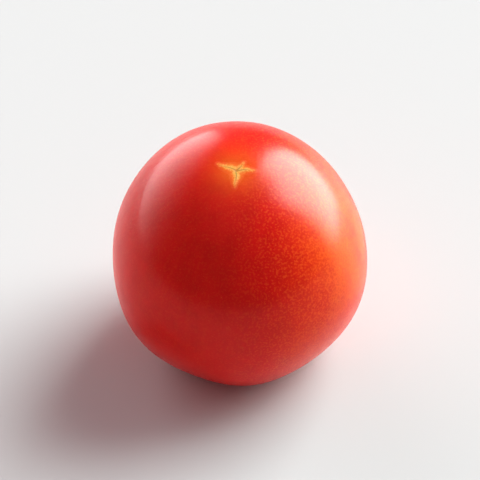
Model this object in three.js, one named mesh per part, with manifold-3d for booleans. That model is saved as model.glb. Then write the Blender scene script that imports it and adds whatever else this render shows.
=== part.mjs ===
// A whole ripe tomato, calyx and stalk picked off, standing on its shoulders with the blossom end up.
//
// It grew as one piece, so it is one solid. Its core rises from the table and leans gently forward:
// the front is -Y and the back +Y. The stem end is underneath, drawn up into a cavity that the ribbed
// shoulders close round, and the ring of shoulders is pressed slightly flat where it carries the fruit.
//
// Millimetres, +Z up. The origin lies on the table, under the middle of the fruit's bounding box.

import * as THREE from "three";
import { mergeVertices } from "three/addons/utils/BufferGeometryUtils.js";
import Module from "manifold-3d";

// Overall sizes of the fruit before it leans
const WIDTH = 70; // left to right, at the waist
const DEPTH = 73; // front to back, at the waist
const CORE_LENGTH = 65; // along the core, from the shoulders to the blossom end
const LEAN = 11; // degrees that the core has turned forward by the blossom end
const SIDE_DRIFT = 0.7; // how far the blossom end stands to the left of the stem end

// Outline of the flesh, as what it adds to the radius of a plain oval
const SHOULDER_GAIN = 0.7; // gained by the shoulders and lost by the blossom end
const END_GAIN = 1.75; // gained by both ends, which makes them blunter

// Stem end, underneath
const STEM_LIFT = 13; // how far the stem scar is drawn up from where a plain oval would close
const CAVITY_RADIUS = 10.5; // where the lift has faded to about a third
const SCAR_RADIUS = 4.6; // corky disc that the stalk left on the cavity floor
const SCAR_HEIGHT = 0.7; // how far the disc stands out of the floor
const SCAR_EDGE = 6; // steepness of the disc's edge
const FOOT_PRESS = 0.5; // thickness pressed flat where the shoulders rest on the table

// Blossom end, on top: a shallow dip round the scar that the flower left
const DIP_DEPTH = 0.35;
const DIP_RADIUS = 3.2;

// Lobes over the seed chambers, strongest at the waist
const CHAMBERS = 3;
const CHAMBER_BULGE = 0.35;
const CHAMBER_TURN = -8; // degrees from +X to the first lobe

// Ribs of the shoulders, which fade out on the way up
const RIBS = 5;
const RIB_BULGE = 0.9; // outwards
const RIB_DROP = 0.35; // downwards
const RIB_TURN = 62; // degrees from +X to the first rib
const RIB_FADE = 3; // steepness of the fade

// Fineness of the faceted surface
const ROWS = 40; // along the core
const SEGMENTS = 60; // round the core
const END_CROWDING = 0.5; // how much closer the rows lie at both ends, from 0 to 1
const MERGE_DISTANCE = 1e-4;

const TOMATO_RED = 0xb41a0c;

// Soft mound of height 1 over the core, faded to about a third at the given reach.
function mound(radius, reach, steepness = 2) {
  return Math.exp(-((radius / reach) ** steepness));
}

// Height of a row on the plain oval, from -1 at the stem end to 1 at the blossom end.
function rowHeight(row) {
  const share = row / ROWS;
  const crowded = share - (END_CROWDING * Math.sin(2 * Math.PI * share)) / (2 * Math.PI);
  return -Math.cos(Math.PI * crowded);
}

// Half section of the fruit before it leans, from the stem scar out and up to the flower scar.
function halfSection() {
  const points = [];
  for (let row = 0; row <= ROWS; row++) {
    const height = rowHeight(row);
    const roundness = Math.sqrt(Math.max(0, 1 - height * height));
    const radius = roundness * (WIDTH / 2 - SHOULDER_GAIN * height + END_GAIN * height * height);
    const blossomShare = (1 + height) / 2;
    const stemShare = 1 - blossomShare;
    const cavity = STEM_LIFT * mound(radius, CAVITY_RADIUS);
    const scar = SCAR_HEIGHT * mound(radius, SCAR_RADIUS, SCAR_EDGE);
    const dip = DIP_DEPTH * mound(radius, DIP_RADIUS);
    const rise = CORE_LENGTH * blossomShare + (cavity - scar) * stemShare - dip * blossomShare;
    points.push(new THREE.Vector2(radius, rise));
  }
  return stretchToLength(points);
}

// Sets the lowest point of a half section at height 0 and the highest at the length of the core.
function stretchToLength(points) {
  const heights = points.map((point) => point.y);
  const lowest = Math.min(...heights);
  const stretch = CORE_LENGTH / (Math.max(...heights) - lowest);
  return points.map((point) => new THREE.Vector2(point.x, (point.y - lowest) * stretch));
}

// Swells a point of the round fruit outwards over the seed chambers, and outwards and down at the ribs.
function addLobes(point) {
  const turn = THREE.MathUtils.radToDeg(Math.atan2(point.y, point.x));
  const outShare = Math.hypot(point.x, point.y) / (WIDTH / 2);
  const lowShare = Math.max(0, 1 - point.z / CORE_LENGTH);
  const chamber = wave(CHAMBERS, turn - CHAMBER_TURN) * outShare ** 2;
  const rib = wave(RIBS, turn - RIB_TURN) * outShare * lowShare ** RIB_FADE;
  const growth = 1 + (CHAMBER_BULGE * chamber + RIB_BULGE * rib) / (WIDTH / 2);
  point.x *= growth;
  point.y *= growth;
  point.z -= RIB_DROP * rib;
}

// Wave round the core with the given number of crests, the first one at 0 degrees.
function wave(crests, degrees) {
  return Math.cos(crests * THREE.MathUtils.degToRad(degrees));
}

// Bends the upright core into an arc that leaves the table upright and has turned by LEAN at its end.
function lean(point) {
  const bendRadius = CORE_LENGTH / THREE.MathUtils.degToRad(LEAN);
  const turned = point.z / bendRadius;
  const reach = bendRadius + point.y;
  point.x -= SIDE_DRIFT * (point.z / CORE_LENGTH) ** 2;
  point.y = reach * Math.cos(turned) - bendRadius;
  point.z = reach * Math.sin(turned);
}

// The closed outside of the fruit: the half section turned round the core, lobed, deepened and leant.
function fruitGeometry() {
  const geometry = new THREE.LatheGeometry(halfSection(), SEGMENTS);
  geometry.rotateX(Math.PI / 2);
  const position = geometry.getAttribute("position");
  const point = new THREE.Vector3();
  for (let i = 0; i < position.count; i++) {
    point.fromBufferAttribute(position, i);
    addLobes(point);
    point.y *= DEPTH / WIDTH;
    lean(point);
    position.setXYZ(i, point.x, point.y, point.z);
  }
  return geometry;
}

// A closed three.js geometry as a manifold-3d solid.
function solidOf(wasm, geometry) {
  const bare = geometry.clone();
  bare.deleteAttribute("normal");
  bare.deleteAttribute("uv");
  const merged = mergeVertices(bare, MERGE_DISTANCE);
  const mesh = new wasm.Mesh({
    numProp: 3,
    vertProperties: merged.getAttribute("position").array,
    triVerts: new Uint32Array(merged.index.array),
  });
  return new wasm.Manifold(mesh);
}

// A manifold-3d solid as a three.js geometry.
function geometryOf(solid) {
  const mesh = solid.getMesh();
  const geometry = new THREE.BufferGeometry();
  geometry.setAttribute("position", new THREE.BufferAttribute(mesh.vertProperties, 3));
  geometry.setIndex(new THREE.BufferAttribute(mesh.triVerts, 1));
  return geometry;
}

// Trims the shoulders flat by the thickness that the fruit's weight presses in.
function pressFoot(wasm, fruit) {
  const span = 2 * Math.max(WIDTH, DEPTH);
  const slab = new THREE.BoxGeometry(span, span, span);
  const lowest = fruit.boundingBox().min[2];
  slab.translate(0, 0, lowest + FOOT_PRESS - span / 2);
  return fruit.subtract(solidOf(wasm, slab));
}

// Sets a geometry on the table, with its bounding box centred over the origin.
function standOnOrigin(geometry) {
  geometry.computeBoundingBox();
  const { min, max } = geometry.boundingBox;
  geometry.translate(-(min.x + max.x) / 2, -(min.y + max.y) / 2, -min.z);
  geometry.computeVertexNormals();
  return geometry;
}

const wasm = await Module();
wasm.setup();

const fruit = pressFoot(wasm, solidOf(wasm, fruitGeometry()));
const skin = new THREE.MeshStandardMaterial({ color: TOMATO_RED, roughness: 0.3, metalness: 0 });
const tomato = new THREE.Mesh(standOnOrigin(geometryOf(fruit)), skin);
tomato.name = "tomato";

const part = new THREE.Group();
part.add(tomato);

export default part;
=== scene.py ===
"""A whole ripe tomato with its calyx picked off, standing on its shoulders, blossom end up.

The skin is one closed surface worked out with numpy. It takes the sizes of the solid that it stands
for, adds the fine relief of the two scars and of the shoulders, and fills the same box.
Lengths are in metres. The front is -Y, the back +Y, and the table is at height 0.
"""

import math

import bpy
import numpy as np
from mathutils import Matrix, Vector


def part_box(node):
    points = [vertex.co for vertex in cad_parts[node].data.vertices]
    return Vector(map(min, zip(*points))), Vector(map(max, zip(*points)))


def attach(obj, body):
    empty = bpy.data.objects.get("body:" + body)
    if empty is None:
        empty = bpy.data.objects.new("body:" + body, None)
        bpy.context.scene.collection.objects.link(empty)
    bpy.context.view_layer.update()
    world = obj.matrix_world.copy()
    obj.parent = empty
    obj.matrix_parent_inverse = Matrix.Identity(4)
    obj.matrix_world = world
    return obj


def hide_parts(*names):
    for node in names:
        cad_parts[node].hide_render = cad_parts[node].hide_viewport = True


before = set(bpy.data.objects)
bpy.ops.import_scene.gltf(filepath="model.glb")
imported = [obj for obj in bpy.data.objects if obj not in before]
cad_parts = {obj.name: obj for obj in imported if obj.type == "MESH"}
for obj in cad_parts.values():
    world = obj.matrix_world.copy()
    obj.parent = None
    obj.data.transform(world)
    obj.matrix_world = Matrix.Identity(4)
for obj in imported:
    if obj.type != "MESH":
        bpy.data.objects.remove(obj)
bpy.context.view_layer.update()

MM = 0.001

# ---------------------------------------------------------------- sizes of the fruit

# Overall sizes of the fruit before it leans
WIDTH = 70 * MM
DEPTH = 73 * MM
CORE_LENGTH = 65 * MM
LEAN = math.radians(11)
SIDE_DRIFT = 0.7 * MM

# Outline of the flesh, as what it adds to the radius of a plain oval
SHOULDER_GAIN = 0.7 * MM
END_GAIN = 1.75 * MM

# Stem end, underneath
STEM_LIFT = 13 * MM
CAVITY_RADIUS = 10.5 * MM
SCAR_RADIUS = 4.6 * MM
SCAR_HEIGHT = 0.7 * MM
SCAR_EDGE = 6
FOOT_PRESS = 0.5 * MM
FOOT_SOFTNESS = 0.12 * MM

# Relief of the stem end, as round ridges: height, radius and breadth
SCAR_RIM = (0.3 * MM, 4.1 * MM, 0.5 * MM)
STALK_STUB = (0.5 * MM, 1.5 * MM, 0.5 * MM)
CORK_CRACKS = (0.12 * MM, 3 * MM, 1.2 * MM)
CAVITY_FOLDS = (0.16 * MM, 9 * MM, 3 * MM)

# How the rim and the stub rise and fall round the core: by what share, how many times, start
RIM_LUMPS = (0.3, 7, 1)
STUB_LUMPS = (0.25, 5, 2)

# How the cracks and the folds follow each other round the core: how many, how far they wander
# sideways, how many times, start
CRACK_WAVES = (23, 2, 3, 0)
FOLD_WAVES = (15, 1.5, 2, 1)

# Blossom end, on top
DIP_DEPTH = 0.35 * MM
DIP_RADIUS = 3.2 * MM

# Arms of the flower scar: turn from +X in degrees, and length
FLOWER_ARMS = ((157, 5.4 * MM), (266, 5.2 * MM), (2, 4.8 * MM), (50, 3.2 * MM))
ARM_BREADTH = 1.25 * MM
GLOW_BREADTH = 2.8 * MM
SEAM_BREADTH = 0.32 * MM
ARM_RELIEF = 0.12 * MM
ARM_NARROWING = 0.6
ARM_FADING = 0.5
ARM_WAVER = 0.15 * MM
WAVER_LENGTH = 0.8 * MM
STYLE_RADIUS = 0.55 * MM
STYLE_DEPTH = 0.15 * MM
HALO_RADIUS = 6.5 * MM

# Colour zones of the stem end: the cork's edge, and the green-gold star round the cavity
CORK_EDGE = 8
GREEN_REACH = 9 * MM
GREEN_POINTS = 5 * MM
GREEN_EDGE = 3

# Lobes over the seed chambers and ribs of the shoulders
CHAMBERS = 3
CHAMBER_BULGE = 0.35 * MM
CHAMBER_TURN = math.radians(-8)
RIBS = 5
RIB_BULGE = 0.9 * MM
RIB_DROP = 0.35 * MM
RIB_TURN = math.radians(62)
RIB_FADE = 3

# Waves of the skin between the scars: height, then how many round the core, how far they turn
# from end to end, and where they start
SKIN_WAVES = (
    (0.06 * MM, 4, 2.2, 0.6),
    (0.07 * MM, 6, -3.1, 2.0),
    (0.05 * MM, 9, 4.3, 4.1),
    (0.04 * MM, 3, 9.0, 1.3),
)

# Fineness of the surface
ROWS = 300
COLUMNS = 320
END_CROWDING = 0.55

# ---------------------------------------------------------------- colours

DEEP_RED = (0.56, 0.002, 0.001, 1)
BRIGHT_RED = (0.70, 0.005, 0.003, 1)
# Orange red: in the streaks the skin's own tone; on the right flank partly that and partly painted glow
# of the window light
ORANGE_RED = (0.76, 0.058, 0.004, 1)
# Painted glow of the window light through the flesh, high on the lit right flank
PAINTED_GLOW_AMBER = (0.80, 0.170, 0.008, 1)
GOLD = (0.92, 0.17, 0.02, 1)
SCAR_GLOW = (0.86, 0.20, 0.012, 1)
SCAR_YELLOW = (0.93, 0.50, 0.13, 1)
SCAR_TAN = (0.74, 0.32, 0.05, 1)
SCAR_BROWN = (0.30, 0.12, 0.02, 1)
STEM_GREEN = (0.50, 0.34, 0.04, 1)
CORK = (0.30, 0.17, 0.075, 1)
DARK_CORK = (0.11, 0.055, 0.025, 1)
PALE_TABLE = (0.58, 0.57, 0.59, 1)
RUDDY_TABLE = (0.66, 0.33, 0.33, 1)
BACKDROP = (0.88, 0.875, 0.875, 1)

# Middle of a painted glow of the window light through the flesh, high on the lit right flank
PAINTED_GLOW_CENTRE = (36 * MM, -10 * MM, 44 * MM)

# Noises that colour the skin and roughen it: grains per metre, detail, and how rough if not 0.5
DRIFT_NOISE = (40, 2)
PATCH_NOISE = (110, 3)
CLOUD_NOISE = (160, 4, 0.6)
SPECK_NOISE = (1700, 1)
FUZZ_NOISE = (2600, 3, 0.7)
CRUMB_NOISE = (1400, 4, 0.7)
PEBBLE_NOISE = (1000, 1)

# Streaks: how many grains across the core and from end to end, and their detail
STREAK_GRAINS = (18, 18, 1.2)
STREAK_NOISE = (1, 2)

# How far the noises push the edges of the orange flank, which is partly painted glow, and of the painted
# glow patch
FLANK_DRIFT = 16 * MM
PATCH_DRIFT = 10 * MM

# Where a colour begins and where it is full, by place, then its share at either
# The orange flank is partly the flesh's own tone and partly painted glow of the window light on the lit
# right side
FLANK = (14 * MM, 33 * MM)
FAR_FLANK = (42 * MM, 31 * MM, 0.4, 1.0)
# The painted glow patch, by distance from its middle
PATCH = (31 * MM, 13 * MM, 0.0, 0.6)
SPECKLED = (-8 * MM, 18 * MM, 0.06, 0.34)
FAR_SPECKLED = (35 * MM, 24 * MM, 0.4, 1.0)
STREAKED = (-12 * MM, 20 * MM, 0.10, 0.22)

# The same by the height of its noise or mask
CLOUDS = (0.35, 0.7)
PALE_SPECKS = (0.50, 0.66)
DARK_SPECKS = (0.50, 0.34)
STREAKS = (0.40, 0.80)
GLOW = (0.2, 1.2)
STAR = (0.1, 1.0)
SEAM = (0.35, 1.2, 0.0, 0.75)
MOTTLING = (-0.1, 0.12)
CRUMBS = (0.35, 0.65)

# How much fuzz roughens the edges of the flower scar's glow, arms and seam
GLOW_FUZZ = 0.6
STAR_FUZZ = 1.3
SEAM_FUZZ = 1.8

# Shares of the colours that are mixed over the flesh where they are strongest
CLOUD_SHARE = 0.5
HALO_SHARE = 0.5
GREEN_SHARE = 0.75

# Gloss
WAX_ROUGHNESS = 0.27
DRY_ROUGHNESS = 0.85
FLOWER_DRYNESS = 0.5
PEBBLE_STRENGTH = 0.8
PEBBLE_HEIGHT = 0.07 * MM
CRUMB_STRENGTH = 0.8
CRUMB_HEIGHT = 0.4 * MM
SKIN_SETTINGS = {
    "Subsurface Weight": 0.9,
    "Subsurface Radius": (1.0, 0.20, 0.08),
    "Subsurface Scale": 10 * MM,
    "IOR": 1.30,
    "Specular Tint": (1.0, 0.8, 0.7, 1),
    "Coat Weight": 0.5,
    "Coat Roughness": 0.14,
    "Coat IOR": 1.4,
}

# ---------------------------------------------------------------- table, light and camera

TABLE_SIDES = 96
TABLE_RADIUS = 6.0
TABLE_ROUGHNESS = 0.5
TABLE_DULLNESS = 0.25

# Studio lamps: where each begins, is full, starts to fade and ends, in degrees, by turn from +Y
# towards +X, by rise above the table, and by turn and rise added up; then its light
RIGHT_WINDOW = (
    (18, 28, 68, 92),
    (-10, 12, 44, 72),
    (28, 58, 150, 170),
    (9.9, 11.3, 10.8, 1),
)
LEFT_WINDOW = (
    (-102, -24, -14, -4),
    (-40, -6, 5, 56),
    (-150, -140, 2, 26),
    (4.6, 4.1, 4.1, 1),
)
CEILING = (
    (-200, -190, 190, 200),
    (48, 80, 100, 110),
    (-200, -190, 290, 300),
    (0.26, 0.26, 0.26, 1),
)
LAMPS = (RIGHT_WINDOW, LEFT_WINDOW, CEILING)
AIR = (0.30, 0.15, 0.15, 1)

SHOT_ELEVATION = math.radians(42)
SHOT_DISTANCE = 0.65
SHOT_LENS = 178
SHOT_TARGET = Vector((0, 0, 35 * MM))
SHOT_NEAREST = 0.01
SHOT_FARTHEST = 100


# ---------------------------------------------------------------- the skin's surface


def mound(radius, reach, steepness=2):
    """1 over the core, falling outwards as exp(-(radius / reach) ** steepness)."""
    return np.exp(-((radius / reach) ** steepness))


def ridge(radius, height, middle, breadth):
    """A round ridge at the middle radius: height * exp(-((radius - middle) / breadth) ** 2)."""
    return height * np.exp(-(((radius - middle) / breadth) ** 2))


def lumps(turn, share, count, start):
    """1, a share more and less by turns round the core: 1 + share * cos(count * turn + start)."""
    return 1 + share * np.cos(count * turn + start)


def wandering_waves(turn, count, wander, bends, start):
    """Waves round the core, unevenly spaced: cos(count * turn + wander * cos(bends * turn + start))."""
    return np.cos(count * turn + wander * np.cos(bends * turn + start))


def arm_mask(x, y, degrees, length, breadth):
    """1 along an arm from the core, falling to 0 beside it, and narrowing to its tip.

    The fall is exp(-(distance from the arm / breadth) ** 2). Towards the tip the breadth shrinks
    evenly and the arm fades with the square of the way. The arm wavers sideways as a sine of the
    distance along it.
    """
    turn = math.radians(degrees)
    ahead = x * math.cos(turn) + y * math.sin(turn)
    aside = y * math.cos(turn) - x * math.sin(turn)
    aside = aside + ARM_WAVER * np.sin(ahead / WAVER_LENGTH + degrees)
    along = np.clip(ahead / length, 0, 1)
    away = np.hypot(ahead - along * length, aside)
    narrowed = breadth * (1 - ARM_NARROWING * along)
    return (1 - ARM_FADING * along**2) * np.exp(-((away / narrowed) ** 2))


def flower_scar(radius, turn, breadth):
    """The star where the flower was: the strongest of its arms at each point."""
    x, y = radius * np.cos(turn), radius * np.sin(turn)
    return np.max([arm_mask(x, y, *arm, breadth) for arm in FLOWER_ARMS], axis=0)


def half_section(height):
    """Radius and rise of the fruit before it leans, by height on a plain oval.

    The height is -1 at the stem and 1 on top.

    radius = sqrt(1 - height^2) * (half the width - shoulder gain * height + end gain * height^2).
    rise = the plain oval's, plus the mound that lifts the stem end, less the scar's disc and the
    dip at the flower scar, stretched to run from 0 to the core's length.
    """
    radius = np.sqrt(np.maximum(0, 1 - height**2))
    radius = radius * (WIDTH / 2 - SHOULDER_GAIN * height + END_GAIN * height**2)
    blossom = (1 + height) / 2
    disc = SCAR_HEIGHT * mound(radius, SCAR_RADIUS, SCAR_EDGE)
    cavity = STEM_LIFT * mound(radius, CAVITY_RADIUS) - disc
    dip = DIP_DEPTH * mound(radius, DIP_RADIUS)
    rise = CORE_LENGTH * blossom + cavity * (1 - blossom) - dip * blossom
    rise = (rise - rise.min()) * CORE_LENGTH / (rise.max() - rise.min())
    return radius, rise


def skin_waves(height, turn):
    """Slight unevenness of a grown skin, faded out at both ends.

    The sum of wave height * cos(count * turn + twist * height + start), times 1 - height^2.
    """
    total = 0
    for wave_height, count, twist, start in SKIN_WAVES:
        total = total + wave_height * np.cos(count * turn + twist * height + start)
    return total * (1 - height**2)


def relief(radius, turn, blossom):
    """Height of the fine detail above the plain fruit, outwards along the core at both ends.

    On top: the arms of the flower scar stand a little proud round a small dip. Underneath: the
    corky disc has a raised rim, a stub where the stalk broke off and cracks that run outwards, and
    the cavity's wall is drawn into shallow folds.
    """
    dip = STYLE_DEPTH * mound(radius, STYLE_RADIUS)
    star = ARM_RELIEF * flower_scar(radius, turn, ARM_BREADTH) - dip
    rim = ridge(radius, *SCAR_RIM) * lumps(turn, *RIM_LUMPS)
    stub = ridge(radius, *STALK_STUB) * lumps(turn, *STUB_LUMPS)
    cracks = ridge(radius, *CORK_CRACKS) * wandering_waves(turn, *CRACK_WAVES)
    folds = ridge(radius, *CAVITY_FOLDS) * wandering_waves(turn, *FOLD_WAVES)
    return np.where(blossom > 0.5, star, -(rim + stub + cracks + folds))


def fruit_points(height, turn):
    """Points of the skin for a height on the plain oval and a turn round the core, as (..., 3).

    The half section is turned round the core, swollen outwards by the chambers' and ribs' cosine
    waves, let down at the ribs, deepened front to back, and bent so that the core becomes an arc
    that leaves the table upright and has turned forwards by the lean at its end.
    """
    radius, rise = half_section(height)
    radius, rise, turn = np.broadcast_arrays(radius, rise, turn)
    out = radius / (WIDTH / 2)
    low = 1 - rise / CORE_LENGTH
    chamber = np.cos(CHAMBERS * (turn - CHAMBER_TURN)) * out**2
    rib = np.cos(RIBS * (turn - RIB_TURN)) * out * low**RIB_FADE
    bulge = CHAMBER_BULGE * chamber + RIB_BULGE * rib + skin_waves(height, turn)
    swollen = radius * (1 + bulge / (WIDTH / 2))
    rise = rise - RIB_DROP * rib + relief(radius, turn, (1 + height) / 2)
    x = swollen * np.cos(turn)
    y = swollen * np.sin(turn) * DEPTH / WIDTH
    bend = CORE_LENGTH / LEAN
    leant_x = x - SIDE_DRIFT * (rise / CORE_LENGTH) ** 2
    leant_y = (bend + y) * np.cos(rise / bend) - bend
    leant_z = (bend + y) * np.sin(rise / bend)
    return np.stack([leant_x, leant_y, leant_z], axis=-1)


def press_on_table(points):
    """Flattens the lowest part where it rests: height h becomes (h + sqrt(h^2 + softness^2)) / 2."""
    height = points[..., 2] - points[..., 2].min() - FOOT_PRESS
    points[..., 2] = (height + np.hypot(height, FOOT_SOFTNESS)) / 2


def fill_box(points, low, high):
    """Moves and stretches the points so that they just fill the box."""
    least, most = points.min(axis=(0, 1)), points.max(axis=(0, 1))
    points[:] = np.array(low) + (points - least) * (np.array(high) - np.array(low)) / (most - least)


def closed_faces(rows, columns):
    """Faces of a grid that closes round the core, with one point at each end: quads, and end fans.

    Points are counted from the stem end's single point, row by row, to the blossom end's.
    """
    column = np.arange(columns)
    following = (column + 1) % columns
    starts = 1 + columns * np.arange(rows - 2)[:, None]
    above = starts + columns
    quads = np.stack([starts + column, starts + following, above + following, above + column], axis=-1)
    top = 1 + columns * (rows - 1)
    last = top - columns
    bottom_fan = np.stack([0 * column, 1 + following, 1 + column], axis=-1)
    top_fan = np.stack([last + column, last + following, 0 * column + top], axis=-1)
    return quads.reshape(-1, 4).tolist() + bottom_fan.tolist() + top_fan.tolist()


def ends_once(grid):
    """The values of a whole grid as one list, with one value each for the first and the last row."""
    inner = grid[1:-1].reshape(-1, *grid.shape[2:])
    return np.concatenate([grid[0, :1], inner, grid[-1, :1]])


def colour_masks(height, turn):
    """Where the skin changes colour, as values from 0 to 1 by name.

    On top: the star at three breadths and a round halo. Underneath: the cork's round disc, and a
    halo whose reach is the green reach plus the green points * (0.5 - 0.5 * cos(ribs * turn))^2.
    """
    radius, _ = half_section(height)
    radius, blossom, turn = np.broadcast_arrays(radius, (1 + height) / 2, turn)
    top, stem = blossom > 0.5, blossom < 0.5
    seam = np.maximum(flower_scar(radius, turn, SEAM_BREADTH), mound(radius, STYLE_RADIUS))
    between_ribs = 0.5 - 0.5 * np.cos(RIBS * (turn - RIB_TURN))
    green_reach = GREEN_REACH + GREEN_POINTS * between_ribs**2
    return {
        "flower_scar": flower_scar(radius, turn, ARM_BREADTH) * top,
        "flower_seam": seam * top,
        "flower_glow": flower_scar(radius, turn, GLOW_BREADTH) * top,
        "flower_halo": mound(radius, HALO_RADIUS) * top,
        "stem_scar": mound(radius, SCAR_RADIUS, CORK_EDGE) * stem,
        "stem_halo": mound(radius, green_reach, GREEN_EDGE) * stem,
    }


def make_fruit():
    """The tomato's skin as one mesh, with the masks that its material reads.

    Its rows run from the stem end to the blossom end and crowd towards both: a row's share of the
    way is s - crowding * sin(2 pi s) / (2 pi), and its height on the plain oval -cos(pi * share).
    """
    share = np.linspace(0, 1, ROWS + 1)[:, None]
    share = share - END_CROWDING * np.sin(2 * np.pi * share) / (2 * np.pi)
    height = -np.cos(np.pi * share)
    turn = np.linspace(0, 2 * np.pi, COLUMNS, endpoint=False)[None, :]
    points = fruit_points(height, turn)
    press_on_table(points)
    fill_box(points, *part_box("tomato"))

    mesh = bpy.data.meshes.new("tomato_skin")
    mesh.from_pydata(ends_once(points), [], closed_faces(ROWS, COLUMNS))
    mesh.shade_smooth()

    for name, values in colour_masks(height, turn).items():
        store = mesh.attributes.new(name, "FLOAT", "POINT")
        store.data.foreach_set("value", ends_once(values).astype(np.float32))
    grain = np.stack(np.broadcast_arrays(np.cos(turn), np.sin(turn), (1 + height) / 2), axis=-1)
    store = mesh.attributes.new("grain", "FLOAT_VECTOR", "POINT")
    store.data.foreach_set("vector", ends_once(grain).astype(np.float32).ravel())

    fruit = bpy.data.objects.new("tomato_skin", mesh)
    bpy.context.scene.collection.objects.link(fruit)
    return fruit


# ---------------------------------------------------------------- materials


class Nodes:
    """A material's node tree, with short ways to add a node and to join it to others."""

    def __init__(self, tree):
        self.tree = tree

    def join(self, value, socket):
        """Joins a socket to an input, or sets the input to a plain value."""
        if isinstance(value, bpy.types.NodeSocket):
            self.tree.links.new(value, socket)
        else:
            socket.default_value = value

    def add(self, kind, inputs=None, **settings):
        """A new node with its settings, and with each input set to a value or joined to a socket."""
        node = self.tree.nodes.new(kind)
        for name, value in settings.items():
            setattr(node, name, value)
        for key, value in (inputs or {}).items():
            self.join(value, node.inputs[key])
        return node

    def calc(self, operation, *numbers):
        """One calculation on up to three numbers."""
        return self.add("ShaderNodeMath", dict(enumerate(numbers)), operation=operation).outputs[0]

    def span(self, value, low, high, to_low=0.0, to_high=1.0):
        """A number taken smoothly from one range to another."""
        inputs = {"Value": value, "From Min": low, "From Max": high, "To Min": to_low, "To Max": to_high}
        return self.add("ShaderNodeMapRange", inputs, interpolation_type="SMOOTHSTEP").outputs["Result"]

    def blend(self, share, first, second):
        """Two colours mixed by a share. They are inputs 6 and 7 of the Mix node."""
        return self.add("ShaderNodeMix", {0: share, 6: first, 7: second}, data_type="RGBA").outputs[2]

    def mix(self, share, first, second):
        """Two numbers mixed by a share. They are inputs 2 and 3 of the Mix node."""
        return self.add("ShaderNodeMix", {0: share, 2: first, 3: second}, data_type="FLOAT").outputs[0]

    def noise(self, vector, scale, detail, roughness=0.5):
        """Soft noise from 0 to 1."""
        inputs = {"Vector": vector, "Scale": scale, "Detail": detail, "Roughness": roughness}
        return self.add("ShaderNodeTexNoise", inputs).outputs["Fac"]

    def along(self, vector, axis):
        """One of the three numbers of a vector."""
        return self.add("ShaderNodeSeparateXYZ", {0: vector}).outputs[axis]

    def mask(self, name):
        """A mask stored on the mesh."""
        return self.add("ShaderNodeAttribute", attribute_name=name).outputs["Fac"]

    def bump(self, height, strength, distance, under=None):
        """The surface's direction, tilted as by fine relief, on top of any bump under it."""
        inputs = {"Height": height, "Strength": strength, "Distance": distance}
        if under is not None:
            inputs["Normal"] = under
        return self.add("ShaderNodeBump", inputs).outputs["Normal"]


def new_material(name):
    """An empty node material, its Nodes and its Principled shader, joined to the output."""
    material = bpy.data.materials.new(name)
    material.use_nodes = True
    material.node_tree.nodes.clear()
    nodes = Nodes(material.node_tree)
    shader = nodes.add("ShaderNodeBsdfPrincipled")
    nodes.add("ShaderNodeOutputMaterial", {"Surface": shader.outputs["BSDF"]})
    return material, nodes, shader


def flesh_colour(nodes, place):
    """Ripe flesh seen through the skin: deep red clouds, orange towards +X that is partly painted glow
    of the window light, and a painted glow patch high on that flank.
    """
    along_x = nodes.along(place, "X")
    # orange towards +X: partly the flesh's own tone, partly painted glow of the window light on the lit
    # flank
    drifting = nodes.calc("MULTIPLY_ADD", nodes.noise(place, *DRIFT_NOISE), FLANK_DRIFT, along_x)
    orange = nodes.calc("MULTIPLY", nodes.span(drifting, *FLANK), nodes.span(drifting, *FAR_FLANK))
    base = nodes.blend(orange, BRIGHT_RED, ORANGE_RED)

    # painted glow: a brighter amber patch where the window light would shine through the flesh
    to_patch = nodes.add("ShaderNodeVectorMath", {0: place, 1: PAINTED_GLOW_CENTRE}, operation="DISTANCE")
    ragged = nodes.noise(place, *PATCH_NOISE)
    away = nodes.calc("MULTIPLY_ADD", ragged, PATCH_DRIFT, to_patch.outputs["Value"])
    base = nodes.blend(nodes.span(away, *PATCH), base, PAINTED_GLOW_AMBER)

    clouds = nodes.span(nodes.noise(place, *CLOUD_NOISE), *CLOUDS)
    base = nodes.blend(nodes.calc("MULTIPLY", clouds, CLOUD_SHARE), base, DEEP_RED)

    # fine golden specks between darker ones, plainest where the skin is less ripe
    plain = nodes.calc("MULTIPLY", nodes.span(along_x, *SPECKLED), nodes.span(along_x, *FAR_SPECKLED))
    specks = nodes.noise(place, *SPECK_NOISE)
    pale = nodes.calc("MULTIPLY", nodes.span(specks, *PALE_SPECKS), plain)
    dark = nodes.calc("MULTIPLY", nodes.span(specks, *DARK_SPECKS), plain)
    return nodes.blend(dark, nodes.blend(pale, base, GOLD), DEEP_RED)


def streak_colour(nodes, place, base):
    """Faint streaks that run from one scar to the other, plainest at the back."""
    grain = nodes.add("ShaderNodeAttribute", attribute_name="grain").outputs["Vector"]
    grain = nodes.add("ShaderNodeMapping", {"Vector": grain, "Scale": STREAK_GRAINS}).outputs["Vector"]
    streaks = nodes.span(nodes.noise(grain, *STREAK_NOISE), *STREAKS)
    plain = nodes.span(nodes.along(place, "Y"), *STREAKED)
    return nodes.blend(nodes.calc("MULTIPLY", streaks, plain), base, ORANGE_RED)


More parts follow.
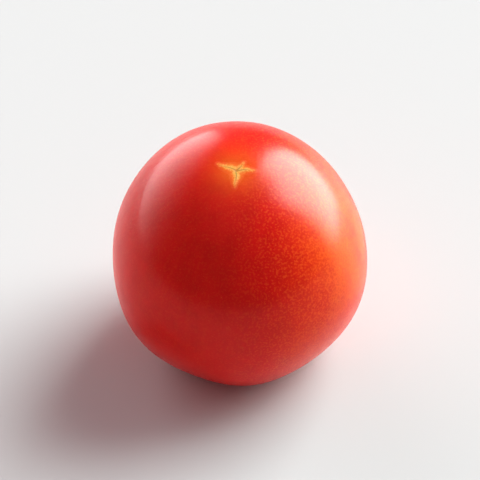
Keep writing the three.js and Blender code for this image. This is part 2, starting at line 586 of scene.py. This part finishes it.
def flower_colour(nodes, place, base):
    """The flower scar: a golden glow in the skin, mottled yellow arms, and a brown seam along them."""
    base = nodes.blend(nodes.calc("MULTIPLY", nodes.mask("flower_halo"), HALO_SHARE), base, SCAR_GLOW)
    fuzz = nodes.calc("SUBTRACT", nodes.noise(place, *FUZZ_NOISE), 0.5)
    glow = nodes.calc("MULTIPLY_ADD", fuzz, GLOW_FUZZ, nodes.mask("flower_glow"))
    base = nodes.blend(nodes.span(glow, *GLOW), base, SCAR_GLOW)
    mottled = nodes.blend(nodes.span(fuzz, *MOTTLING), SCAR_TAN, SCAR_YELLOW)
    star = nodes.calc("MULTIPLY_ADD", fuzz, STAR_FUZZ, nodes.mask("flower_scar"))
    base = nodes.blend(nodes.span(star, *STAR), base, mottled)
    seam = nodes.calc("MULTIPLY_ADD", fuzz, SEAM_FUZZ, nodes.mask("flower_seam"))
    return nodes.blend(nodes.span(seam, *SEAM), base, SCAR_BROWN)


def stem_colour(nodes, crumbs, scar, base):
    """The stem end: green-gold round the cavity, crumbly cork on the scar."""
    base = nodes.blend(nodes.calc("MULTIPLY", nodes.mask("stem_halo"), GREEN_SHARE), base, STEM_GREEN)
    cork = nodes.blend(nodes.span(crumbs, *CRUMBS), DARK_CORK, CORK)
    return nodes.blend(scar, base, cork)


def skin_material():
    """Glossy tomato skin over translucent flesh, with cork on the stalk's scar."""
    material, nodes, shader = new_material("tomato_skin")
    place = nodes.add("ShaderNodeTexCoord").outputs["Object"]
    crumbs = nodes.noise(place, *CRUMB_NOISE)
    scar = nodes.mask("stem_scar")

    base = streak_colour(nodes, place, flesh_colour(nodes, place))
    base = flower_colour(nodes, place, base)
    nodes.join(stem_colour(nodes, crumbs, scar, base), shader.inputs["Base Color"])

    # even wax on the skin, dull scars
    dry = nodes.calc("MAXIMUM", scar, nodes.calc("MULTIPLY", nodes.mask("flower_scar"), FLOWER_DRYNESS))
    nodes.join(nodes.mix(dry, WAX_ROUGHNESS, DRY_ROUGHNESS), shader.inputs["Roughness"])

    # the skin's fine pebbling, and the cork's crumbs
    pebbled = nodes.bump(nodes.noise(place, *PEBBLE_NOISE), PEBBLE_STRENGTH, PEBBLE_HEIGHT)
    cork_crumbs = nodes.calc("MULTIPLY", crumbs, scar)
    crumbly = nodes.bump(cork_crumbs, CRUMB_STRENGTH, CRUMB_HEIGHT, pebbled)
    nodes.join(crumbly, shader.inputs["Normal"])

    for name, value in SKIN_SETTINGS.items():
        shader.inputs[name].default_value = value
    return material


def table_material():
    """Plain pale table top. The light it throws on the fruit is that of a dish of red fruits."""
    material, nodes, shader = new_material("pale_table")
    seen = nodes.add("ShaderNodeLightPath").outputs["Is Camera Ray"]
    nodes.join(nodes.blend(seen, RUDDY_TABLE, PALE_TABLE), shader.inputs["Base Color"])
    dull = nodes.calc("MULTIPLY_ADD", seen, TABLE_DULLNESS, TABLE_ROUGHNESS)
    nodes.join(dull, shader.inputs["Roughness"])
    return material


# ---------------------------------------------------------------- stage


def make_floor():
    """A wide round table top at height 0, as a fan of triangles."""
    turn = np.linspace(0, 2 * np.pi, TABLE_SIDES, endpoint=False)
    edge = np.stack([TABLE_RADIUS * np.cos(turn), TABLE_RADIUS * np.sin(turn), 0 * turn], axis=-1)
    number = np.arange(TABLE_SIDES)
    fan = np.stack([0 * number, 1 + number, 1 + (number + 1) % TABLE_SIDES], axis=-1)
    mesh = bpy.data.meshes.new("floor")
    mesh.from_pydata(np.concatenate([[[0, 0, 0]], edge]), [], fan.tolist())
    mesh.materials.append(table_material())
    floor = bpy.data.objects.new("floor", mesh)
    bpy.context.scene.collection.objects.link(floor)


def window(nodes, angles, limits):
    """1 inside a soft-edged window of the surroundings and 0 outside.

    For each of the angles, its four limits say where the window begins, is full, starts to fade
    and ends.
    """
    share = 1.0
    for angle, (begins, full, fades, ends) in zip(angles, limits):
        share = nodes.calc("MULTIPLY", share, nodes.span(angle, begins, full))
        share = nodes.calc("MULTIPLY", share, nodes.span(angle, ends, fades))
    return share


def make_light():
    """Studio light from all round: two soft windows behind the fruit, a ceiling, and dim warm air.

    The camera sees a plain backdrop instead.
    """
    world = bpy.data.worlds.new("studio")
    bpy.context.scene.world = world
    world.use_nodes = True
    world.node_tree.nodes.clear()
    nodes = Nodes(world.node_tree)
    towards = nodes.add("ShaderNodeTexCoord").outputs["Generated"]
    across = nodes.calc("ARCTAN2", nodes.along(towards, "X"), nodes.along(towards, "Y"))
    turn = nodes.calc("DEGREES", across)
    rise = nodes.calc("DEGREES", nodes.calc("ARCSINE", nodes.along(towards, "Z")))
    angles = (turn, rise, nodes.calc("ADD", turn, rise))

    light = AIR
    for *limits, colour in LAMPS:
        light = nodes.blend(window(nodes, angles, limits), light, colour)
    air = nodes.add("ShaderNodeBackground", {"Color": light})
    backdrop = nodes.add("ShaderNodeBackground", {"Color": BACKDROP})
    seen = nodes.add("ShaderNodeLightPath").outputs["Is Camera Ray"]
    mixed = nodes.add("ShaderNodeMixShader", {0: seen, 1: air.outputs[0], 2: backdrop.outputs[0]})
    nodes.add("ShaderNodeOutputWorld", {"Surface": mixed.outputs[0]})


def make_camera():
    """A long lens that looks down on the fruit from the front."""
    lens = bpy.data.cameras.new("camera")
    lens.lens = SHOT_LENS
    lens.clip_start = SHOT_NEAREST
    lens.clip_end = SHOT_FARTHEST
    camera = bpy.data.objects.new("camera", lens)
    back = Vector((0, -math.cos(SHOT_ELEVATION), math.sin(SHOT_ELEVATION)))
    camera.location = SHOT_TARGET + back * SHOT_DISTANCE
    camera.rotation_euler = back.to_track_quat("Z", "Y").to_euler()
    bpy.context.scene.collection.objects.link(camera)
    bpy.context.scene.camera = camera


make_camera()
make_light()
make_floor()

tomato = make_fruit()
tomato.data.materials.append(skin_material())
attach(tomato, "root")
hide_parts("tomato")

bpy.context.scene.view_settings.view_transform = "Standard"
